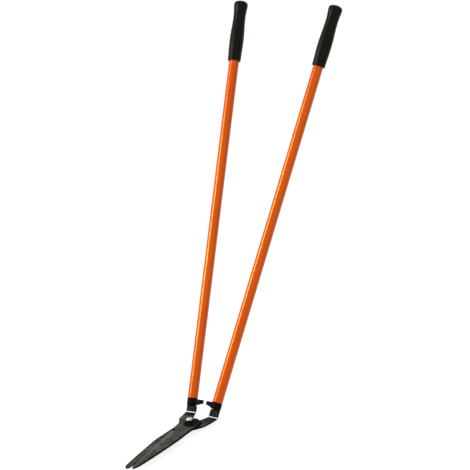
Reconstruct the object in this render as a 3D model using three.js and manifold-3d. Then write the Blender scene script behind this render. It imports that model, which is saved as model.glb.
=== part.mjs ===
// Long handled edging shears: two bent steel levers cross on one pivot bolt,
// and each is carried on by a long steel tube with a moulded grip.
// Millimetres. +Z is the pivot axis, the blades point to -Y and the handles rise and lean back to +Y.
// The origin is on the pivot axis, at the lower face of the bolt's head.
// Every lever is drawn closed and then turned about the pivot to the slightly open pose.

import * as THREE from 'three';
import { mergeVertices } from 'three/addons/utils/BufferGeometryUtils.js';
import Module from 'manifold-3d';

const wasm = await Module();
wasm.setup();

const degree = Math.PI / 180;

// Poses and angles
const restHalfOpening = 3.25 * degree;
const handleRise = 54.3 * degree;
const handleSplay = 4.3 * degree;

// Clearances and cutting allowance
const seatGap = 0.3;
const fitClearance = 0.3;
const overrun = 1;

// Blades and shanks, stamped and bent from one plate
const plateThickness = 3.5;
const bladeGap = 0.3;
const bladeReach = 204;
const spineOffset = 24.6;
const edgeHeelOffset = 19.1;
const edgeHeelReach = 36.8;
const edgeToeOffset = 8.2;
const edgeToeReach = 180;
const tipOffset = 3.4;
const tipRadius = 3;
const heelNotchOffset = 15.6;
const heelNotchReach = 40.4;
const heelNotchRadius = 2;
const bossRadius = 20;
const barWidth = 24.2;
const barOffset = 26.8;
const bendReach = 41.5;
const bendInnerRadius = 3;
const plateChamfer = 0.4;
const grindWidth = 5;
const edgeLand = 2.3;

// Upright of the shank, and its tang in the tube
const barRise = 12.8;
const tangWidth = 14;
const tangSetback = 1;
const tangRelief = 0.15;
const tangEndMargin = 5;
const lapLength = 8;
const lapInset = 0.05;
const lapFade = 0.6;

// Tubes and grips
const tubeDiameter = 22;
const tubeWall = 1.2;
const tubeShown = 742;
const gripLength = 136.4;
const gripBelly = 30.7;
const gripEndWall = 11;
const gripLip = 1.2;

// Collars, their stop noses and buffers
const collarHeight = 15;
const collarRound = 2.5;
const spigotHeight = 12;
const noseDrop = 0.9;
const noseDepth = 7;
const noseEndHeight = 8.3;
const noseRootHeight = 12.8;
const closedBufferGap = 0.4;
const bufferLength = 5.5;
const bufferPegDiameter = 3;
const bufferPegLength = 4.5;

// Sleeves that hold the tangs in the tubes, and their roll pins
const sleeveLength = 45;
const pinDiameter = 4;
const pinWall = 0.8;
const pinSlit = 0.9;
const pinRecess = 0.3;
const pinEndMargin = 2;

// Pivot bolt, bush, washers and nut
const boltDiameter = 10;
const boltHeadFlats = 16;
const boltHeadHeight = 5;
const headChamfer = 0.8;
const threadChamfer = 0.8;
const boltProud = 0.8;
const bushWall = 1.7;
const headWasherDiameter = 22;
const headWasherThickness = 1.6;
const coverWasherDiameter = 28;
const coverWasherThickness = 1.1;
const springDiameter = 23;
const springThickness = 0.9;
const springDish = 0.5;
const nutFlats = 17;
const nutHexHeight = 4.2;
const nutCollarDiameter = 14.6;
const nutCollarHeight = 1.9;
const nutCollarWall = 0.9;
const insertHeight = 1.3;

// Facets
const roundSteps = 36;
const smallSteps = 20;
const outlineSteps = 5;
const bendSteps = 8;
const cornerSteps = 4;
const profileSteps = 15;
const domeSteps = 5;
const hexSides = 6;

// Heights of the pivot's stack, from the lower face of the bolt's head
const headWasherZ = boltHeadHeight + seatGap;
const lowerPlateZ = headWasherZ + headWasherThickness + seatGap;
const upperPlateZ = lowerPlateZ + plateThickness + bladeGap;
const coverWasherZ = upperPlateZ + plateThickness + seatGap;
const springZ = coverWasherZ + coverWasherThickness + seatGap;
const nutZ = springZ + springThickness + springDish + seatGap;
const nutTopZ = nutZ + nutHexHeight + nutCollarHeight;

// Radii that pieces share
const tubeRadius = tubeDiameter / 2;
const tubeBoreRadius = tubeRadius - tubeWall;
const plugRadius = tubeBoreRadius - fitClearance;
const boltRadius = boltDiameter / 2;
const boltHoleRadius = boltRadius + fitClearance;
const bushRadius = boltHoleRadius + bushWall;
const leverBoreRadius = bushRadius + fitClearance;

// The bend: its start behind the pivot, its radii and its length along the middle of the plate
const bendStart = bendReach - bendInnerRadius * Math.tan(handleRise / 2);
const bendMiddleRadius = bendInnerRadius + plateThickness / 2;
const bendLength = bendMiddleRadius * handleRise;

// Materials
const bladeSteel = { color: 0x4a4a42, roughness: 0.42, metalness: 0.75 };
const zinc = { color: 0xc9cbd0, roughness: 0.28, metalness: 0.95 };
const blackSteel = { color: 0x222222, roughness: 0.45, metalness: 0.6 };
const bronze = { color: 0x9a7440, roughness: 0.4, metalness: 0.9 };
const orangePaint = { color: 0xdc560c, roughness: 0.32, metalness: 0.05 };
const blackPlastic = { color: 0x1b1b1a, roughness: 0.5, metalness: 0 };
const gripRubber = { color: 0x1e1d19, roughness: 0.62, metalness: 0 };
const bufferRubber = { color: 0x141414, roughness: 0.8, metalness: 0 };
const nylon = { color: 0xdfe3ea, roughness: 0.5, metalness: 0 };

// Helpers for closed solids

function toSolid(geometry) {
  const bare = geometry.clone();
  bare.deleteAttribute('normal');
  bare.deleteAttribute('uv');
  const merged = mergeVertices(bare);
  return new wasm.Manifold(new wasm.Mesh({
    numProp: 3,
    vertProperties: new Float32Array(merged.attributes.position.array),
    triVerts: new Uint32Array(merged.index.array),
  }));
}

function toGeometry(solid) {
  const mesh = solid.getMesh();
  const geometry = new THREE.BufferGeometry();
  geometry.setAttribute('position', new THREE.BufferAttribute(mesh.vertProperties, 3));
  geometry.setIndex(new THREE.BufferAttribute(mesh.triVerts, 1));
  return geometry;
}

function addMesh(group, name, geometry, look) {
  const mesh = new THREE.Mesh(geometry, new THREE.MeshStandardMaterial(look));
  mesh.name = name;
  group.add(mesh);
  return mesh;
}

// A solid of revolution about Z, from [radius, height] points that start and end on the axis or close
function turned(profile, steps) {
  const points = profile.map(([radius, height]) => new THREE.Vector2(radius, height));
  const geometry = new THREE.LatheGeometry(points, steps);
  return geometry.rotateX(Math.PI / 2);
}

function ringProfile(innerRadius, outerRadius, low, high) {
  return [[innerRadius, low], [outerRadius, low], [outerRadius, high], [innerRadius, high], [innerRadius, low]];
}

function rodAlongZ(radius, low, high, steps) {
  return new THREE.CylinderGeometry(radius, radius, high - low, steps)
    .rotateX(Math.PI / 2)
    .translate(0, 0, (low + high) / 2);
}

function rodAlongY(radius, low, high, steps) {
  return new THREE.CylinderGeometry(radius, radius, high - low, steps).translate(0, (low + high) / 2, 0);
}

// A solid through loops of points, with flat ends
function lofted(sections) {
  const perLoop = sections[0].length;
  const positions = sections.flat().flatMap((point) => [point.x, point.y, point.z]);
  const triangles = [];
  for (let ring = 0; ring + 1 < sections.length; ring += 1) {
    for (let corner = 0; corner < perLoop; corner += 1) {
      const next = (corner + 1) % perLoop;
      const low = ring * perLoop;
      const high = low + perLoop;
      triangles.push(low + corner, high + next, low + next);
      triangles.push(low + corner, high + corner, high + next);
    }
  }
  const last = (sections.length - 1) * perLoop;
  for (let corner = 1; corner + 1 < perLoop; corner += 1) {
    triangles.push(0, corner, corner + 1);
    triangles.push(last, last + corner + 1, last + corner);
  }
  const geometry = new THREE.BufferGeometry();
  geometry.setAttribute('position', new THREE.Float32BufferAttribute(positions, 3));
  geometry.setIndex(triangles);
  return geometry;
}

// Plan outline of a closed lever whose shank lies at side times X, and its blade at the other side.
// Each table gives shares of the offset and the reach that its stretch follows.
const upperLeverShares = {
  shankOuterShares: [
    [0.974, 0.699], [0.949, 0.506], [0.941, 0.337], [0.905, 0.231], [0.81, 0.084], [0.702, -0.058], [0.64, -0.164],
  ],
  throatOuterShares: [[1.246, 0.326], [1.23, 0.516], [1.188, 0.761]],
  spineShares: [
    [0.94, 0.115], [0.9, 0.15], [0.868, 0.21], [0.84, 0.333], [0.74, 0.463], [0.612, 0.6], [0.43, 0.77], [0.27, 0.89],
    [0.16, 0.95],
  ],
};
const lowerLeverShares = {
  shankOuterShares: [[0.982, 0.665], [0.956, 0.482], [0.918, 0.265], [0.843, 0.031], [0.722, -0.149], [0.591, -0.32]],
  throatOuterShares: [[1.047, 0.467], [0.984, 0.652]],
  spineShares: [
    [1.024, 0.1], [1.033, 0.245], [1.037, 0.373], [1.012, 0.441], [0.927, 0.505], [0.829, 0.578], [0.728, 0.652],
    [0.634, 0.728], [0.528, 0.801], [0.423, 0.873], [0.333, 0.922], [0.276, 0.953], [0.175, 0.98],
  ],
};
const shankInnerShares = [[0.62, 0.58]];
const heelShares = [[0.8, -0.05], [0.97, -0.012], [1, 0.036]];
const bossArcStartShare = 0.28;
const bossArcEndShare = 0.575;

function leverOutline(side) {
  const at = (x, y) => new THREE.Vector2(side * x, y);
  const scaled = (shares, offset, reach) => shares.map(([across, along]) => at(across * offset, along * reach));
  const splay = Math.tan(handleSplay);
  const barOuter = barOffset + barWidth / 2;
  const barInner = barOffset - barWidth / 2;
  const straight = bendStart - bendInnerRadius;
  const leverShares = side > 0 ? lowerLeverShares : upperLeverShares;
  const shape = new THREE.Shape();

  // Outer side of the shank, down to the heel of the cutting edge
  shape.moveTo(side * barOuter, bendStart);
  shape.lineTo(side * (barOuter - (bendStart - straight) * splay), straight);
  shape.splineThru([
    ...scaled(leverShares.shankOuterShares, barOuter, bendReach),
    ...scaled(leverShares.throatOuterShares, edgeHeelOffset, -edgeHeelReach),
    at(edgeHeelOffset, -edgeHeelReach),
  ]);

  // Cutting edge, the tip and the spine back to the heel
  shape.lineTo(side * edgeToeOffset, -edgeToeReach);
  shape.lineTo(side * (tipOffset + tipRadius), -(bladeReach - tipRadius));
  shape.quadraticCurveTo(side * (tipOffset + tipRadius / 2), -bladeReach, side * (tipOffset - tipRadius / 2), -bladeReach);
  shape.splineThru([
    ...scaled(leverShares.spineShares.toReversed(), -spineOffset, -bladeReach),
    ...scaled(heelShares.toReversed(), -spineOffset, -bladeReach),
  ]);

  // Round rear of the boss, and the inner side of the shank
  const arcSteps = cornerSteps * 2;
  for (let step = 0; step <= arcSteps; step += 1) {
    const share = bossArcStartShare + (bossArcEndShare - bossArcStartShare) * (step / arcSteps);
    shape.lineTo(-side * bossRadius * Math.cos(share * Math.PI), bossRadius * Math.sin(share * Math.PI));
  }
  shape.splineThru([
    ...scaled(shankInnerShares, barInner, bendReach),
    at(barInner - (bendStart - straight) * splay, straight),
  ]);
  shape.lineTo(side * barInner, bendStart);
  return shape;
}

// The plate from the blade's tip to the start of the bend, from z = 0, chamfered on its outer face
function flatPlate(side, outerFaceUp) {
  const geometry = new THREE.ExtrudeGeometry(leverOutline(side), {
    depth: plateThickness - plateChamfer,
    curveSegments: outlineSteps,
    bevelEnabled: true,
    bevelThickness: plateChamfer,
    bevelSize: plateChamfer,
    bevelOffset: -plateChamfer,
    bevelSegments: 1,
  });
  const keep = new THREE.BoxGeometry(bladeReach * 2, bladeReach * 4, plateThickness + overrun);
  keep.translate(0, 0, (plateThickness + overrun) / 2);
  let plate = toSolid(geometry).intersect(toSolid(keep));
  if (!outerFaceUp) {
    plate = plate.mirror([0, 0, 1]).translate([0, 0, plateThickness]);
  }
  return plate;
}

// The wedge that the grinding wheel takes off the outer face along one stretch of the edge
function grindWedge(start, end, outerFaceUp) {
  const along = end.clone().sub(start);
  const reach = along.length();
  const rise = plateThickness - edgeLand;
  const slope = grindWidth / rise;
  const outline = new THREE.Shape();
  outline.moveTo(-overrun * slope, edgeLand - overrun);
  outline.lineTo(grindWidth + overrun * slope, plateThickness + overrun);
  outline.lineTo(-overrun * slope, plateThickness + overrun);
  outline.closePath();
  const geometry = new THREE.ExtrudeGeometry(outline, { depth: reach, bevelEnabled: false });
  const across = new THREE.Vector3(-along.y, along.x, 0).normalize();
  if (across.x * start.x > 0) {
    across.negate();
  }
  const forward = new THREE.Vector3(along.x, along.y, 0).normalize();
  const up = new THREE.Vector3(0, 0, 1);
  const place = new THREE.Matrix4().makeBasis(across, up, forward);
  place.setPosition(start.x, start.y, 0);
  geometry.applyMatrix4(place);
  if (place.determinant() < 0) {
    flipWinding(geometry);
  }
  let wedge = toSolid(geometry);
  if (!outerFaceUp) {
    wedge = wedge.mirror([0, 0, 1]).translate([0, 0, plateThickness]);
  }
  return wedge;
}

function flipWinding(geometry) {
  const { array } = geometry.attributes.position;
  const perTriangle = 9;
  for (let first = 0; first < array.length; first += perTriangle) {
    for (let axis = 0; axis < 3; axis += 1) {
      const kept = array[first + 3 + axis];
      array[first + 3 + axis] = array[first + 6 + axis];
      array[first + 6 + axis] = kept;
    }
  }
}

// A point of the bent bar: across the plate, up from its lower face, and along its middle line
function onBend(across, up, along) {
  const radius = bendInnerRadius + plateThickness - up;
  const turn = Math.max(0, along) / bendMiddleRadius;
  return new THREE.Vector3(
    across,
    bendStart + Math.min(0, along) + radius * Math.sin(turn),
    plateThickness + bendInnerRadius - radius * Math.cos(turn),
  );
}

// Where the tube's axis starts, a setback before the middle of the upright
function handleOrigin(side) {
  const across = side * (barOffset + bendLength * Math.tan(handleSplay));
  return onBend(across, plateThickness / 2 + tangSetback, bendLength);
}

function handleMatrix(side) {
  const turn = new THREE.Euler(handleRise - Math.PI / 2, side * handleSplay, 0);
  const matrix = new THREE.Matrix4().makeRotationFromEuler(turn);
  return matrix.setPosition(handleOrigin(side));
}

// A chamfered rectangle as eight corners, [across, up], around a centre
function barCorners(width, thickness, chamfer) {
  const x = width / 2;
  const y = thickness / 2;
  return [
    [chamfer - x, -y], [x - chamfer, -y], [x, chamfer - y], [x, y - chamfer],
    [x - chamfer, y], [chamfer - x, y], [-x, y - chamfer], [-x, chamfer - y],
  ];
}

// The bar from inside the plate through the bend and the upright to the end of the tang
function bentBar(side, rise, tangLength) {
  const full = barCorners(barWidth, plateThickness, plateChamfer);
  const inset = barCorners(barWidth - 2 * lapInset, plateThickness - 2 * lapInset, plateChamfer);
  const tang = barCorners(tangWidth, plateThickness - 2 * tangRelief, plateChamfer);
  const flatSection = (corners, along) => {
    const centre = side * (barOffset + along * Math.tan(handleSplay));
    return corners.map(([across, up]) => onBend(centre + across, up + plateThickness / 2, along));
  };
  const matrix = handleMatrix(side);
  const uprightSection = (corners, height) => corners.map(
    ([across, up]) => new THREE.Vector3(across, tangSetback - up, height).applyMatrix4(matrix),
  );
  const sections = [flatSection(inset, -lapLength), flatSection(inset, 0), flatSection(full, lapFade)];
  for (let step = 1; step <= bendSteps; step += 1) {
    sections.push(flatSection(full, lapFade + (bendLength - lapFade) * (step / bendSteps)));
  }
  sections.push(uprightSection(full, rise));
  sections.push(uprightSection(tang, rise));
  sections.push(uprightSection(tang, rise + tangLength));
  return lofted(sections);
}

// Heights up a handle from the start of its upright
function handleHeights(rise) {
  const collarLow = rise + seatGap;
  const collarTop = collarLow + collarHeight;
  const spigotTop = collarTop + spigotHeight;
  const sleeveLow = spigotTop + seatGap;
  const sleeveTop = sleeveLow + sleeveLength;
  const tubeLow = collarTop + seatGap;
  const gripLow = tubeLow + tubeShown;
  const tubeTop = gripLow + gripLength - gripEndWall - seatGap;
  return {
    collarLow, collarTop, spigotTop, sleeveLow, sleeveTop, tubeLow, gripLow, tubeTop,
    pinHeight: (sleeveLow + sleeveTop) / 2,
    tangLength: sleeveTop - tangEndMargin - rise,
  };
}

// The notch that ends the cutting edge at its heel, round inside and open at the edge
function heelNotch(side) {
  const outline = new THREE.Shape();
  outline.absarc(0, 0, heelNotchRadius, Math.PI / 2, Math.PI * (3 / 2));
  outline.lineTo(edgeHeelOffset, -heelNotchRadius);
  outline.lineTo(edgeHeelOffset, heelNotchRadius);
  outline.closePath();
  const geometry = new THREE.ExtrudeGeometry(outline, {
    depth: plateThickness + 2 * overrun,
    curveSegments: outlineSteps,
    bevelEnabled: false,
  });
  geometry.rotateZ(side > 0 ? 0 : Math.PI);
  return toSolid(geometry.translate(side * heelNotchOffset, -heelNotchReach, -overrun));
}

function makeLever(side, outerFaceUp, rise, heights) {
  let lever = flatPlate(side, outerFaceUp);
  const heel = new THREE.Vector2(side * edgeHeelOffset, -edgeHeelReach);
  const toe = new THREE.Vector2(side * edgeToeOffset, -edgeToeReach);
  const tip = new THREE.Vector2(side * (tipOffset + tipRadius), -(bladeReach - tipRadius));
  const pastTip = tip.clone().add(tip.clone().sub(toe).setLength(tipRadius + overrun));
  lever = lever.subtract(grindWedge(heel, toe, outerFaceUp));
  lever = lever.subtract(grindWedge(toe, pastTip, outerFaceUp));
  lever = lever.subtract(heelNotch(side));
  lever = lever.add(toSolid(bentBar(side, rise, heights.tangLength)));
  const bore = rodAlongZ(leverBoreRadius, -overrun, plateThickness + overrun, roundSteps);
  lever = lever.subtract(toSolid(bore));

  // The roll pin's hole through the tang
  const pinHole = rodAlongY(pinDiameter / 2 + fitClearance, -plateThickness, plateThickness, smallSteps);
  pinHole.translate(0, tangSetback, heights.pinHeight).applyMatrix4(handleMatrix(side));
  return toGeometry(lever.subtract(toSolid(pinHole)));
}

// Slot for the tang, all the way up a collar or a sleeve
function tangSlot(low, high) {
  const slot = new THREE.BoxGeometry(
    tangWidth + 2 * fitClearance,
    plateThickness - 2 * tangRelief + 2 * fitClearance,
    high - low + 2 * overrun,
  );
  return slot.translate(0, tangSetback, (low + high) / 2);
}

// A collar: a cup under the tube, a spigot in it and the nose that stops the handles.
// It is drawn in the handle's plane, where X is the lever's own X, measured from the handle's origin.
function makeCollar(side, heights, noseEnd) {
  const { collarLow, collarTop, spigotTop } = heights;
  const corner = [];
  for (let step = 0; step <= cornerSteps; step += 1) {
    const turn = (step / cornerSteps) * (Math.PI / 2);
    const inset = tubeRadius - collarRound;
    corner.push([inset + collarRound * Math.sin(turn), collarLow + collarRound * (1 - Math.cos(turn))]);
  }
  const body = turned([
    [0, collarLow], ...corner, [tubeRadius, collarTop],
    [plugRadius, collarTop], [plugRadius, spigotTop], [0, spigotTop],
  ], roundSteps);
  body.rotateY(side * handleSplay);

  const topEdge = (collarTop - noseDrop) * Math.cos(handleSplay);
  const axisAtNose = side * topEdge * Math.tan(handleSplay);
  const root = axisAtNose - side * tubeRadius;
  const outline = new THREE.Shape();
  outline.moveTo(noseEnd, topEdge);
  outline.lineTo(axisAtNose, topEdge);
  outline.lineTo(axisAtNose, topEdge - noseRootHeight);
  outline.lineTo(root, topEdge - noseRootHeight);
  outline.lineTo(noseEnd, topEdge - noseEndHeight);
  outline.closePath();
  const nose = new THREE.ExtrudeGeometry(outline, { depth: noseDepth, bevelEnabled: false });
  nose.rotateX(Math.PI / 2).translate(0, noseDepth / 2, 0);

  const pegHole = new THREE.CylinderGeometry(
    bufferPegDiameter / 2 + fitClearance,
    bufferPegDiameter / 2 + fitClearance,
    (bufferPegLength + overrun) * 2,
    smallSteps,
  );
  pegHole.rotateZ(Math.PI / 2).translate(noseEnd, 0, topEdge - noseEndHeight / 2);

  const slot = tangSlot(collarLow, spigotTop).rotateY(side * handleSplay);
  return toGeometry(toSolid(body).add(toSolid(nose)).subtract(toSolid(slot)).subtract(toSolid(pegHole)));
}

// A rubber buffer: a pad with a round front on the end of the nose, and its peg
function makeBuffer(side, heights, noseEnd) {
  const topEdge = (heights.collarTop - noseDrop) * Math.cos(handleSplay);
  const back = noseEnd - side * seatGap;
  const half = noseDepth / 2;
  const front = noseEnd - side * bufferLength;
  const pad = new THREE.Shape();
  pad.moveTo(back, -half);
  pad.lineTo(back, half);
  for (let step = 0; step <= cornerSteps * 2; step += 1) {
    const turn = Math.PI / 2 - (step / (cornerSteps * 2)) * Math.PI;
    pad.lineTo(front + side * half * (1 - Math.cos(turn)), half * Math.sin(turn));
  }
  pad.closePath();
  const body = new THREE.ExtrudeGeometry(pad, { depth: noseEndHeight, bevelEnabled: false });
  body.translate(0, 0, topEdge - noseEndHeight);
  const peg = new THREE.CylinderGeometry(bufferPegDiameter / 2, bufferPegDiameter / 2, bufferPegLength * 2, smallSteps);
  peg.rotateZ(Math.PI / 2).translate(noseEnd, 0, topEdge - noseEndHeight / 2);
  return toGeometry(toSolid(body).add(toSolid(peg)));
}

function makeSleeve(heights) {
  const { sleeveLow, sleeveTop, pinHeight } = heights;
  const body = toSolid(rodAlongZ(plugRadius, sleeveLow, sleeveTop, roundSteps));
  const pinFront = -plugRadius + pinEndMargin - seatGap;
  const pinHole = rodAlongY(pinDiameter / 2 + fitClearance, pinFront, tubeRadius, smallSteps);
  pinHole.translate(0, 0, pinHeight);
  return toGeometry(body.subtract(toSolid(tangSlot(sleeveLow, sleeveTop))).subtract(toSolid(pinHole)));
}

function makeTube(heights) {
  const { tubeLow, tubeTop, pinHeight } = heights;
  const body = toSolid(turned(ringProfile(tubeBoreRadius, tubeRadius, tubeLow, tubeTop), roundSteps));
  const pinHole = rodAlongY(pinDiameter / 2 + fitClearance, 0, tubeRadius + overrun, smallSteps);
  pinHole.translate(0, 0, pinHeight);
  return toGeometry(body.subtract(toSolid(pinHole)));
}

// A slit roll pin, pressed in from the rear of the tube
function makePin(heights) {
  const outer = pinDiameter / 2;
  const inner = outer - pinWall;
  const outerTurn = Math.asin(pinSlit / 2 / outer);
  const innerTurn = Math.asin(pinSlit / 2 / inner);
  const ring = new THREE.Shape();
  for (let step = 0; step <= smallSteps; step += 1) {
    const turn = outerTurn + (2 * Math.PI - 2 * outerTurn) * (step / smallSteps);
    const place = [outer * Math.cos(turn), outer * Math.sin(turn)];
    if (step === 0) {
      ring.moveTo(...place);
    } else {
      ring.lineTo(...place);
    }
  }
  for (let step = smallSteps; step >= 0; step -= 1) {
    const turn = innerTurn + (2 * Math.PI - 2 * innerTurn) * (step / smallSteps);
    ring.lineTo(inner * Math.cos(turn), inner * Math.sin(turn));
  }
  ring.closePath();
  const front = -plugRadius + pinEndMargin;
  const back = tubeRadius - pinRecess;
  const geometry = new THREE.ExtrudeGeometry(ring, { depth: back - front, bevelEnabled: false });
  return geometry.rotateX(-Math.PI / 2).translate(0, front, heights.pinHeight);
}

// Grip radii as shares of the belly's, from the open end to the start of the dome
const gripShares = [
  [0.03, 0.925], [0.13, 0.95], [0.23, 0.985], [0.34, 1], [0.45, 0.98], [0.55, 0.93],
  [0.65, 0.885], [0.74, 0.872], [0.82, 0.9], [0.87, 0.95], [0.91, 0.985], [0.945, 0.975],
];

function makeGrip(heights) {
  const belly = gripBelly / 2;
  const boreRadius = tubeRadius + fitClearance;
  const boreTop = gripLength - gripEndWall;
  const side = new THREE.SplineCurve(
    gripShares.map(([along, across]) => new THREE.Vector2(across * belly, along * gripLength)),
  );
  const outer = side.getPoints(profileSteps).map((point) => [point.x, point.y]);
  const [shoulderRadius, shoulderHeight] = outer.at(-1);
  const [lipRadius] = outer[0];
  const dome = [];
  for (let step = 1; step < domeSteps; step += 1) {
    const turn = (step / domeSteps) * (Math.PI / 2);
    const rise = (gripLength - shoulderHeight) * Math.sin(turn);
    dome.push([shoulderRadius * Math.cos(turn), shoulderHeight + rise]);
  }
  const profile = [
    [0, boreTop], [boreRadius, boreTop], [boreRadius, 0], [lipRadius - gripLip, 0], [lipRadius, gripLip],
    ...outer, ...dome, [0, gripLength],
  ];
  return turned(profile, roundSteps).translate(0, 0, heights.gripLow);
}

// A hexagon across flats, between two heights, with its corners turned off
function hexagon(flats, low, high, chamfer, steps) {
  const corner = flats / 2 / Math.cos(Math.PI / hexSides);
  const prism = new THREE.CylinderGeometry(corner, corner, high - low, hexSides);
  prism.rotateX(Math.PI / 2).translate(0, 0, (low + high) / 2);
  const inset = flats / 2;
  const cone = turned([
    [0, low], [inset, low], [inset + chamfer * 2, low + chamfer], [inset + chamfer * 2, high - chamfer],
    [inset, high], [0, high],
  ], steps);
  return toSolid(prism).intersect(toSolid(cone));
}

function makeBolt() {
  const end = nutTopZ + boltProud;
  const stem = turned([
    [0, boltHeadHeight / 2], [boltRadius, boltHeadHeight / 2], [boltRadius, end - threadChamfer],
    [boltRadius - threadChamfer, end], [0, end],
  ], roundSteps);
  const head = hexagon(boltHeadFlats, 0, boltHeadHeight, headChamfer, roundSteps);
  return toGeometry(head.add(toSolid(stem)));
}

function makeNut() {
  const collarLow = nutZ + nutHexHeight;
  const collarRadius = nutCollarDiameter / 2;
  const hex = hexagon(nutFlats, nutZ, collarLow, headChamfer, roundSteps);
  const collar = turned([
    [0, nutZ + headChamfer], [collarRadius, nutZ + headChamfer], [collarRadius, nutTopZ - threadChamfer],
    [collarRadius - threadChamfer, nutTopZ], [0, nutTopZ],
  ], roundSteps);
  const bore = rodAlongZ(boltHoleRadius, nutZ - overrun, nutTopZ + overrun, roundSteps);
  const pocket = rodAlongZ(
    collarRadius - nutCollarWall, nutTopZ - insertHeight - seatGap, nutTopZ + overrun, roundSteps,
  );
  return toGeometry(hex.add(toSolid(collar)).subtract(toSolid(bore)).subtract(toSolid(pocket)));
}

function makeInsert() {
  const outer = nutCollarDiameter / 2 - nutCollarWall - fitClearance;
  return turned(ringProfile(boltHoleRadius, outer, nutTopZ - insertHeight, nutTopZ), roundSteps);
}

// A dished disc spring
function makeSpring() {
  const outer = springDiameter / 2;
  return turned([
    [boltHoleRadius, springZ + springDish], [outer, springZ],
    [outer, springZ + springThickness], [boltHoleRadius, springZ + springDish + springThickness],
    [boltHoleRadius, springZ + springDish],
  ], roundSteps);
}

// The two levers with their handles, each in a group that turns about the pivot

function addHandle(lever, side, rise, prefix) {
  const heights = handleHeights(rise);
  const plane = new THREE.Group();
  plane.position.copy(handleOrigin(side));
  plane.rotation.x = handleRise - Math.PI / 2;
  lever.add(plane);
  const noseEnd = side * (closedBufferGap / 2 + bufferLength) - plane.position.x;
  addMesh(plane, `${prefix}_collar`, makeCollar(side, heights, noseEnd), blackPlastic);
  addMesh(plane, `${prefix}_buffer`, makeBuffer(side, heights, noseEnd), bufferRubber);

  const handle = new THREE.Group();
  handle.rotation.y = side * handleSplay;
  plane.add(handle);
  addMesh(handle, `${prefix}_tang_sleeve`, makeSleeve(heights), blackPlastic);
  addMesh(handle, `${prefix}_roll_pin`, makePin(heights), blackSteel);
  addMesh(handle, `${prefix}_tube`, makeTube(heights), orangePaint);
  addMesh(handle, `${prefix}_grip`, makeGrip(heights), gripRubber);
  return heights;
}

const left = -1;
const right = 1;
const shears = new THREE.Group();

// The lower lever's upright is longer, so that both tubes start level along the handles
const lowerRise = barRise + (plateThickness + bladeGap) * Math.sin(handleRise);

const upper = new THREE.Group();
upper.position.z = upperPlateZ;
upper.rotation.z = -left * restHalfOpening;
const upperHeights = addHandle(upper, left, barRise, 'left');
addMesh(upper, 'upper_lever', makeLever(left, true, barRise, upperHeights), bladeSteel);
shears.add(upper);

const lower = new THREE.Group();
lower.position.z = lowerPlateZ;
lower.rotation.z = -right * restHalfOpening;
const lowerHeights = addHandle(lower, right, lowerRise, 'right');
addMesh(lower, 'lower_lever', makeLever(right, false, lowerRise, lowerHeights), bladeSteel);
shears.add(lower);

// The pivot, held in the upper lever
const washer = (diameter, thickness, low) => turned(
  ringProfile(boltHoleRadius, diameter / 2, low, low + thickness), roundSteps,
);
const bushLow = lowerPlateZ;
const bushTop = upperPlateZ + plateThickness;
addMesh(shears, 'pivot_bolt', makeBolt(), zinc);
addMesh(shears, 'head_washer', washer(headWasherDiameter, headWasherThickness, headWasherZ), zinc);
addMesh(shears, 'pivot_bush', turned(ringProfile(boltHoleRadius, bushRadius, bushLow, bushTop), roundSteps), bronze);
addMesh(shears, 'cover_washer', washer(coverWasherDiameter, coverWasherThickness, coverWasherZ), blackSteel);
addMesh(shears, 'disc_spring', makeSpring(), blackSteel);
addMesh(shears, 'lock_nut', makeNut(), zinc);
addMesh(shears, 'nut_insert', makeInsert(), nylon);

export default shears;
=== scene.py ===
import math
import bmesh
import bpy
from mathutils import Matrix, Vector

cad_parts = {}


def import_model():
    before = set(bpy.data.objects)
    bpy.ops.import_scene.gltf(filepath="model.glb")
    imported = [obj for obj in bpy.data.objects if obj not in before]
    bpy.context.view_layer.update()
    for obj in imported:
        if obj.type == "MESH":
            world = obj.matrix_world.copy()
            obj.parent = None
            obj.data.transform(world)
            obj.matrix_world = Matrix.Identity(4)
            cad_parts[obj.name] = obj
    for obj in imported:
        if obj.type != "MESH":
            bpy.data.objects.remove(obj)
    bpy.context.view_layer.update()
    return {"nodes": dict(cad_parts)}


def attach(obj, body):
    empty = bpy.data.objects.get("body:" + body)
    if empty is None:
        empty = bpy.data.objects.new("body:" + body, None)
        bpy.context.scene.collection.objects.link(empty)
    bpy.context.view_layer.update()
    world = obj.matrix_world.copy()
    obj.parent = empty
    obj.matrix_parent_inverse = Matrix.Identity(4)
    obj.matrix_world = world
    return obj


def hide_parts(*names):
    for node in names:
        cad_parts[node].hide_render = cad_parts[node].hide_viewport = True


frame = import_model()

# Long-handled shears: two cranked levers that cross at a pivot, each with a collar, a buffer,
# a tube and a grip. Sizes of the shapes are in millimetres, everything in Blender is in metres.
# A side is -1 for the left handle's lever, which is the upper one, and 1 for the right one's.
MM = 0.001
DEGREE = math.pi / 180

# Angles
REST_HALF_OPENING = 3.25 * DEGREE
HANDLE_RISE = 54.3 * DEGREE
HANDLE_SPLAY = 4.3 * DEGREE

# Play between seated pieces, and how far a cutting tool reaches past what it cuts
SEAT = 0.3
FIT = 0.3
OVERRUN = 1

# Plates of the levers
PLATE = 3.5
BLADE_GAP = 0.3
BLADE_REACH = 204
SPINE_OFFSET = 24.6
EDGE_HEEL = (19.1, -36.8)
EDGE_TOE = (8.2, -180)
TIP_OFFSET = 3.4
TIP_RADIUS = 3
NOTCH = (15.6, -40.4)
NOTCH_RADIUS = 2
BOSS_RADIUS = 20
BAR_WIDTH = 24.2
BAR_OFFSET = 26.8
BEND_REACH = 41.5
BEND_INNER = 3
GRIND_WIDTH = 5
EDGE_LAND = 2.3
BAR_RISE = 12.8
TANG_WIDTH = 14
TANG_SETBACK = 1
TANG_RELIEF = 0.15
TANG_END_MARGIN = 5

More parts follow.
